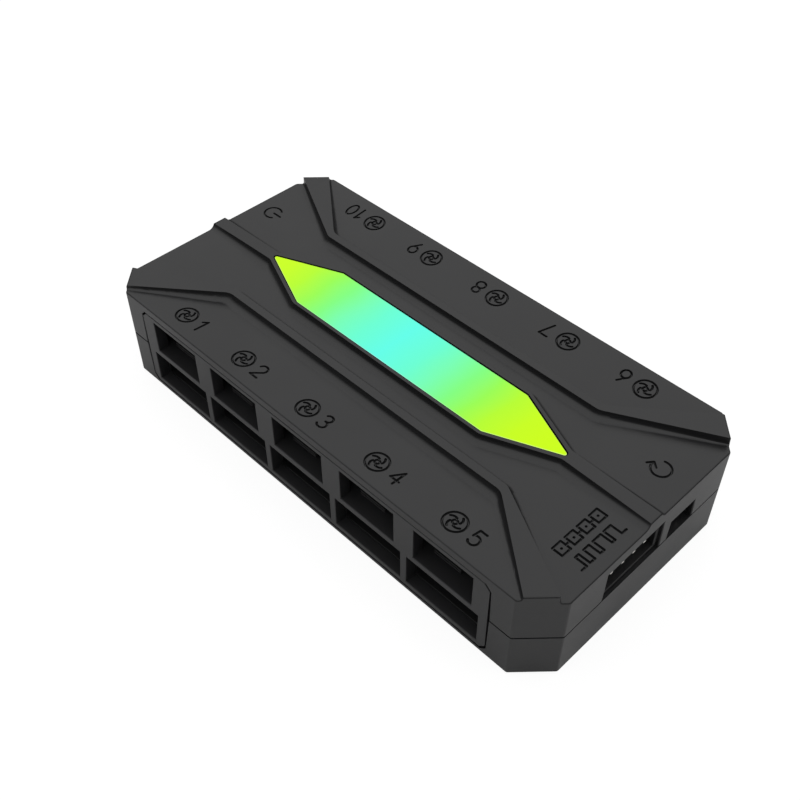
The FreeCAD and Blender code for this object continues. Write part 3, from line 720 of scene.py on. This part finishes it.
def screw_mesh(low, high, settings):
    """The vertices, quads and end triangles of a pan-head screw, head down, between two
    heights.

    Head and shank are one profile (r, z) turned round. The head's dome is a quarter
    ellipse, r = head sin t and z = low + rise (1 - cos t). Along the shank
    r = core + (shank - core) (1 - |2 f - 1|) ^ 1.4, where f is the fraction of a turn that
    z / pitch - angle / 2 pi leaves, which winds the ridge into a thread. The cross recess
    lifts the dome by recess * wall * fade: wall goes from 1 to 0 where the smaller of |x|
    and |y| passes half a slot, and fade falls to 0 toward the head's edge.
    """
    around = settings.around
    angle = np.linspace(0, 2 * math.pi, around, endpoint=False)
    rise = 0.62 * (settings.seat - low)
    dome = np.linspace(0, math.pi / 2, 26)
    dome_r = np.repeat(settings.head * np.sin(dome)[:, None], around, 1)
    dome_z = np.repeat(low + rise * (1 - np.cos(dome))[:, None], around, 1)
    arm = np.minimum(np.abs(dome_r * np.cos(angle)), np.abs(dome_r * np.sin(angle)))
    wall = 1 / (1 + np.exp((arm - settings.slot / 2) / (0.05 * MM)))
    fade = np.clip((1.25 * MM - dome_r) / (0.7 * MM), 0, 1)
    dome_z = dome_z + settings.recess * wall * fade
    neck_r = np.array([settings.head, settings.head, settings.shank])
    neck_z = np.array([low + rise, settings.seat, settings.seat])
    thread_z = np.linspace(settings.seat + 0.25 * MM, high - 0.4 * MM, 150)
    thread_z = np.repeat(thread_z[:, None], around, 1)
    turn = (thread_z / settings.pitch - angle[None, :] / (2 * math.pi)) % 1.0
    core = 0.78 * settings.shank
    thread_r = core + (settings.shank - core) * (1 - np.abs(2 * turn - 1)) ** 1.4
    r = np.vstack([dome_r, np.repeat(neck_r[:, None], around, 1), thread_r,
                   np.full((1, around), 0.45 * core)])
    z = np.vstack([dome_z, np.repeat(neck_z[:, None], around, 1), thread_z,
                   np.full((1, around), high)])
    rings = np.dstack([r * np.cos(angle), r * np.sin(angle), z])[1:]
    poles = np.array([[0.0, 0.0, z[0, 0]], [0.0, 0.0, high]])
    verts = np.vstack([rings.reshape(-1, 3), poles])
    rows = len(rings)
    i = np.arange(rows - 1)[:, None] * around
    k = np.arange(around)[None, :]
    n = (k + 1) % around
    quads = np.stack([i + k, i + around + k, i + around + n, i + n], -1).reshape(-1, 4)
    last = (rows - 1) * around
    first_fan = np.stack([np.full(around, len(verts) - 2), k[0], n[0]], -1)
    last_fan = np.stack([last + k[0], np.full(around, len(verts) - 1), last + n[0]], -1)
    return verts, quads, np.vstack([first_fan, last_fan])


# Operators

def outer_walls(work):
    """The case's plan: the outward normal and the reach of each upright face that no
    vertex lies beyond."""
    points = np.array([v.co for v in work.verts])
    walls = {}
    for face in work.faces:
        key = tuple(round(c, 3) for c in face.normal)
        if abs(face.normal.z) < 0.01 and key not in walls:
            reach = face.normal.dot(face.verts[0].co)
            if (points @ np.array(face.normal)).max() < reach + TINY:
                walls[key] = (face.normal.copy(), reach)
    return list(walls.values())


def inward(point, walls):
    """How far inside the case's plan a point lies."""
    return min(reach - normal.dot(point) for normal, reach in walls)


def in_relief(face, walls):
    """Whether a face belongs to the cover's top and not to a wall."""
    high = face.calc_center_median().z > RELIEF_Z
    return high and max(inward(v.co, walls) for v in face.verts) > TINY


def round_corners(work, run):
    """Rounds the upright corners of a shell by a bevel that reaches run on each wall."""
    walls = outer_walls(work)
    corners = []
    for edge in work.edges:
        a, b = (v.co for v in edge.verts)
        upright = (a - b).to_2d().length < TINY
        if upright and len(edge.link_faces) == 2 and inward(a, walls) < TINY:
            if edge.is_convex and edge.calc_face_angle() > math.radians(20):
                corners.append(edge)
    bmesh.ops.bevel(work, geom=corners, offset=run, offset_type="OFFSET", segments=3,
                    profile=0.5, affect="EDGES", clamp_overlap=False)
    work.normal_update()


def round_rim(work, radius):
    """Rounds the cover's outer top edge, whatever the relief does there.

    Cuts parallel to every wall put vertices at the gaps radius (1 - cos a) from it, for
    four angles a. Each vertex of the relief whose gap g is under radius then sinks by
    radius - sqrt(radius^2 - (radius - g)^2), which is what a quarter circle lacks there.
    """
    walls = outer_walls(work)
    gaps = radius * (1 - np.cos(np.radians([22.5, 45, 67.5, 90])))
    for normal, reach in walls:
        for gap in gaps:
            near = [f for f in work.faces
                    if max(normal.dot(v.co) for v in f.verts) > reach - gap
                    and in_relief(f, walls)]
            edges = {e for f in near for e in f.edges}
            verts = {v for f in near for v in f.verts}
            bmesh.ops.bisect_plane(work, geom=near + list(edges) + list(verts), dist=1e-7,
                                   plane_co=normal * (reach - gap), plane_no=normal)
    relief = {v for f in work.faces if in_relief(f, walls) for v in f.verts}
    drops = [(v, inward(v.co, walls)) for v in relief]
    for vertex, gap in drops:
        if gap < radius:
            vertex.co.z -= radius - math.sqrt(radius ** 2 - (radius - max(gap, 0)) ** 2)
    work.normal_update()


def cut_reveal(work, height, depth):
    """Sets the foot of a shell's outer walls back, which leaves a dark line at the joint.

    Two level cuts close together mark off the foot. A vertex of the foot that lies on
    walls with normals n then moves by the shortest d for which n.d = -depth on each.
    """
    walls = outer_walls(work)
    foot = min(v.co.z for v in work.verts if inward(v.co, walls) < TINY)
    for level in (height - 2 * TINY, height):
        outer = [f for f in work.faces if max(inward(v.co, walls) for v in f.verts) < TINY]
        edges = {e for f in outer for e in f.edges}
        verts = {v for f in outer for v in f.verts}
        bmesh.ops.bisect_plane(work, geom=outer + list(edges) + list(verts), dist=1e-8,
                               plane_co=(0, 0, foot + level), plane_no=(0, 0, 1))
    for vertex in work.verts:
        if vertex.co.z < foot + height - TINY and inward(vertex.co, walls) < TINY:
            touched = np.array([n for n, reach in walls if reach - n.dot(vertex.co) < TINY])
            vertex.co += Vector(np.linalg.pinv(touched) @ np.full(len(touched), -depth))
    work.normal_update()


def tile(work, pitch):
    """Cuts the cover's top along a square grid, so that each face that is engraved holds
    only a small part of a mark."""
    for axis, normal in ((0, Vector((1, 0, 0))), (1, Vector((0, 1, 0)))):
        reach = max(v.co[axis] for v in work.verts)
        for place in np.arange(pitch / 2 - reach, reach, pitch):
            top = [f for f in work.faces
                   if f.normal.z > 0.5 and f.calc_center_median().z > RELIEF_Z
                   and min(v.co[axis] for v in f.verts) < place
                   < max(v.co[axis] for v in f.verts)]
            edges = {e for f in top for e in f.edges}
            verts = {v for f in top for v in f.verts}
            bmesh.ops.bisect_plane(work, geom=top + list(edges) + list(verts), dist=1e-7,
                                   plane_co=normal * place, plane_no=normal)


class HUB_OT_cover(bpy.types.Operator):
    """Makes the cover: outer edges rounded, port marks and signs engraved"""
    bl_idname = "fan_hub.cover"
    bl_label = "Cover with engraved marks"

    def execute(self, context):
        settings = context.scene.fan_hub
        work = merged_copy("top_shell", 0.1)
        round_corners(work, settings.edges.corner_run)
        round_rim(work, settings.edges.cover_round)
        cut_reveal(work, settings.edges.seam_height, settings.edges.seam_depth)
        tile(work, settings.marks.tile)
        piece = bpy.data.objects.new("cover_engraved", bpy.data.meshes.new("cover_plain"))
        work.to_mesh(piece.data)
        work.free()
        context.scene.collection.objects.link(piece)
        add_light_well(piece, settings.well)
        carve(piece, cover_marks(settings.marks), settings.marks)
        done = bmesh.new()
        done.from_mesh(piece.data)
        bpy.data.objects.remove(piece)
        bmesh.ops.remove_doubles(done, verts=done.verts, dist=0.5e-6)
        mesh = smooth_mesh(done, "cover_engraved")
        made = made_object("cover_engraved", mesh, abs_moulded_case(settings.colours),
                           ["top_shell"])
        weigh_normals(made)
        return {"FINISHED"}


def cover_marks(settings):
    """Each mark's strokes, its middle, its turn and its height."""
    half_l, half_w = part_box("top_shell")[1].to_2d()
    marks = []
    for number in range(1, 11):
        low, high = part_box("fan_header_%02d" % number)
        near = number <= 5
        y = (settings.from_side - half_w) * (1 if near else -1)
        middle = ((low.x + high.x) / 2, y)
        marks.append((port_mark(number), middle, 0 if near else math.pi, settings.height))
    quarter = math.pi / 2
    for sign, end, from_end, y, height in (
            (lamp_strip_sign(), 1, 6.4 * MM, -8.6 * MM, settings.strip_height),
            (pulse_sign(), 1, 3.2 * MM, -8.6 * MM, settings.strip_height),
            (restart_sign(), 1, 5.3 * MM, 8.6 * MM, settings.sign_height),
            (power_sign(), -1, 4.2 * MM, 9.2 * MM, settings.sign_height)):
        marks.append((sign, (end * (half_l - from_end), y), end * quarter, height))
    return marks


class HUB_OT_tray(bpy.types.Operator):
    """Makes the tray: as the frame's, with its upright corners rounded"""
    bl_idname = "fan_hub.tray"
    bl_label = "Tray"

    def execute(self, context):
        settings = context.scene.fan_hub
        work = merged_copy("bottom_shell", 0.1)
        round_corners(work, settings.edges.corner_run)
        mesh = smooth_mesh(work, "tray_rounded")
        made = made_object("tray_rounded", mesh, abs_moulded_case(settings.colours),
                           ["bottom_shell"])
        weigh_normals(made)
        return {"FINISHED"}


class HUB_OT_port_frames(bpy.types.Operator):
    """Makes both port frames with rounded rims round every port"""
    bl_idname = "fan_hub.port_frames"
    bl_label = "Port frames"

    def execute(self, context):
        settings = context.scene.fan_hub
        plastic = abs_moulded_frame(settings.colours)
        for side, sign in (("near", -1), ("far", 1)):
            node = "port_frame_" + side
            work = merged_copy(node)
            face = max(sign * v.co.y for v in work.verts)

            def front(point):
                return sign * point.y > face - TINY

            rounded(work, sharp_edges(work, 30, front), settings.edges.frame_round)
            mesh = smooth_mesh(work, node + "_rounded")
            made = made_object(node + "_rounded", mesh, plastic, [node])
            weigh_normals(made)
        return {"FINISHED"}


class HUB_OT_lens(bpy.types.Operator):
    """Makes the lit lens with a rounded top edge"""
    bl_idname = "fan_hub.lens"
    bl_label = "Lit lens"

    def execute(self, context):
        settings = context.scene.fan_hub
        work = merged_copy("light_lens")
        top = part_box("light_lens")[1].z

        def upper(point):
            return point.z > top - 0.01 * MM

        rounded(work, sharp_edges(work, 30, upper), settings.edges.lens_round, 4)
        mesh = smooth_mesh(work, "lens_lit")
        lit = acrylic_lit(settings.colours, "acrylic_cast_opal", top)
        made = made_object("lens_lit", mesh, lit, ["light_lens"])
        weigh_normals(made)
        return {"FINISHED"}


class HUB_OT_screws(bpy.types.Operator):
    """Makes the four case screws with cross recesses and threads"""
    bl_idname = "fan_hub.screws"
    bl_label = "Case screws"

    def execute(self, context):
        settings = context.scene.fan_hub
        low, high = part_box("case_screws")
        one, quads, fans = screw_mesh(low.z, high.z, settings.screws)
        x, y = high.x - settings.screws.head, high.y - settings.screws.head
        corners = [(-x, -y), (-x, y), (x, -y), (x, y)]
        verts = np.vstack([one + [x, y, 0.0] for x, y in corners])
        faces = []
        for number in range(4):
            faces += (quads + number * len(one)).tolist()
            faces += (fans + number * len(one)).tolist()
        mesh = bpy.data.meshes.new("case_screws_threaded")
        mesh.from_pydata(verts.tolist(), [], faces)
        work = bmesh.new()
        work.from_mesh(mesh)
        bmesh.ops.recalc_face_normals(work, faces=work.faces)
        bpy.data.meshes.remove(mesh)
        mesh = smooth_mesh(work, "case_screws_threaded", 50)
        made_object("case_screws_threaded", mesh, black_zinc_steel(),
                    ["case_screws"])
        return {"FINISHED"}


class HUB_OT_pins(bpy.types.Operator):
    """Makes the contact pins: as the frame's, with the edges of their tips rounded"""
    bl_idname = "fan_hub.pins"
    bl_label = "Contact pins"

    def execute(self, context):
        settings = context.scene.fan_hub
        metal = tin_plated_brass()
        for node in [n for n, slot in slots().items() if slot == "tinned_pins"]:
            work = merged_copy(node, 0.1)
            along_x = not node.startswith(("fan", "light"))
            axis = 0 if along_x else 1
            far = max(abs(v.co[axis]) for v in work.verts)

            def at_tip(point):
                return abs(abs(point[axis]) - far) < TINY

            rounded(work, sharp_edges(work, 20, at_tip), settings.edges.tip_round)
            mesh = smooth_mesh(work, node + "_plated")
            weigh_normals(made_object(node + "_plated", mesh, metal, [node]))
        return {"FINISHED"}


def slots():
    """The material slot of every node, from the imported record."""
    return {s["node"]: s["material_slot"] for s in frame["record"]["subparts"]}


class HUB_OT_inner_pieces(bpy.types.Operator):
    """Gives the headers, board, lamps and parts their materials"""
    bl_idname = "fan_hub.inner_pieces"
    bl_label = "Headers and board"

    def execute(self, context):
        settings = context.scene.fan_hub
        finishes = {
            "header_nylon": nylon_moulded(settings.colours),
            "board_laminate": solder_masked_laminate(),
            "chip_epoxy": epoxy_moulded(),
            "lamp_resin": white_lamp_body(),
            "can_aluminium": drawn_aluminium(),
        }
        for name, slot in slots().items():
            if slot not in finishes:
                continue
            node = NODES[name]
            for holder in node.material_slots:
                holder.material = finishes[slot]
            if slot == "header_nylon":
                weld = node.modifiers.new("weld", "WELD")
                weld.merge_threshold = 0.5e-6
                bevel = node.modifiers.new("edge rounds", "BEVEL")
                bevel.width = settings.edges.header_round
                bevel.segments = 2
                bevel.limit_method = "ANGLE"
                bevel.angle_limit = math.radians(50)
        return {"FINISHED"}


class HUB_OT_stage(bpy.types.Operator):
    """Sets up the floor, the even studio light and the camera"""
    bl_idname = "fan_hub.stage"
    bl_label = "Stage"

    def execute(self, context):
        settings = context.scene.fan_hub
        scene = context.scene
        mesh = bpy.data.meshes.new("studio_floor")
        mesh.from_pydata([(x * FLOOR_HALF, y * FLOOR_HALF, 0) for x, y in
                          ((-1, -1), (1, -1), (1, 1), (-1, 1))], [], [(0, 1, 2, 3)])
        mesh.materials.append(studio_floor(settings.colours))
        floor = bpy.data.objects.new("studio_floor", mesh)
        scene.collection.objects.link(floor)

        scene.world = studio_room()
        lens = bpy.data.cameras.new("photo_camera")
        lens.lens = CAMERA_LENS
        lens.sensor_width = CAMERA_SENSOR
        lens.clip_start = 0.01
        lens.clip_end = 20
        camera = bpy.data.objects.new("photo_camera", lens)
        turn, down = math.radians(CAMERA_TURN), math.radians(CAMERA_DOWN)
        ahead = Vector((-math.sin(turn) * math.cos(down), math.cos(turn) * math.cos(down),
                        -math.sin(down)))
        side = Vector((math.cos(turn), math.sin(turn), 0))
        up = side.cross(ahead)
        camera.matrix_world = Matrix(((side.x, up.x, -ahead.x, CAMERA_PLACE[0]),
                                      (side.y, up.y, -ahead.y, CAMERA_PLACE[1]),
                                      (side.z, up.z, -ahead.z, CAMERA_PLACE[2]),
                                      (0, 0, 0, 1)))
        scene.collection.objects.link(camera)
        scene.camera = camera
        scene.view_settings.view_transform = "Standard"
        return {"FINISHED"}


class HUB_PT_sidebar(bpy.types.Panel):
    """Lists the hub's settings and its making steps"""
    bl_idname = "HUB_PT_sidebar"
    bl_label = "Fan hub"
    bl_space_type = "VIEW_3D"
    bl_region_type = "UI"
    bl_category = "Fan hub"

    def draw(self, context):
        settings = context.scene.fan_hub
        for title, group in (("Edges", settings.edges), ("Marks", settings.marks),
                             ("Light well", settings.well),
                             ("Screws", settings.screws), ("Colours", settings.colours)):
            box = self.layout.box()
            box.label(text=title)
            for name in group.__annotations__:
                box.prop(group, name)
        for operator in OPERATORS:
            self.layout.operator(operator.bl_idname)


GROUPS = (HubEdgeSettings, HubMarkSettings, HubWellSettings, HubScrewSettings,
          HubColourSettings, HubSettings)
OPERATORS = (HUB_OT_cover, HUB_OT_tray, HUB_OT_port_frames, HUB_OT_lens, HUB_OT_screws,
             HUB_OT_pins, HUB_OT_inner_pieces, HUB_OT_stage)


def register():
    for item in GROUPS + OPERATORS + (HUB_PT_sidebar,):
        bpy.utils.register_class(item)
    bpy.types.Scene.fan_hub = PointerProperty(type=HubSettings)


def unregister():
    del bpy.types.Scene.fan_hub
    for item in reversed(GROUPS + OPERATORS + (HUB_PT_sidebar,)):
        bpy.utils.unregister_class(item)


def main():
    register()
    bpy.ops.fan_hub.stage()
    bpy.ops.fan_hub.cover()
    bpy.ops.fan_hub.tray()
    bpy.ops.fan_hub.port_frames()
    bpy.ops.fan_hub.lens()
    bpy.ops.fan_hub.screws()
    bpy.ops.fan_hub.pins()
    bpy.ops.fan_hub.inner_pieces()


if __name__ == "__main__":
    main()
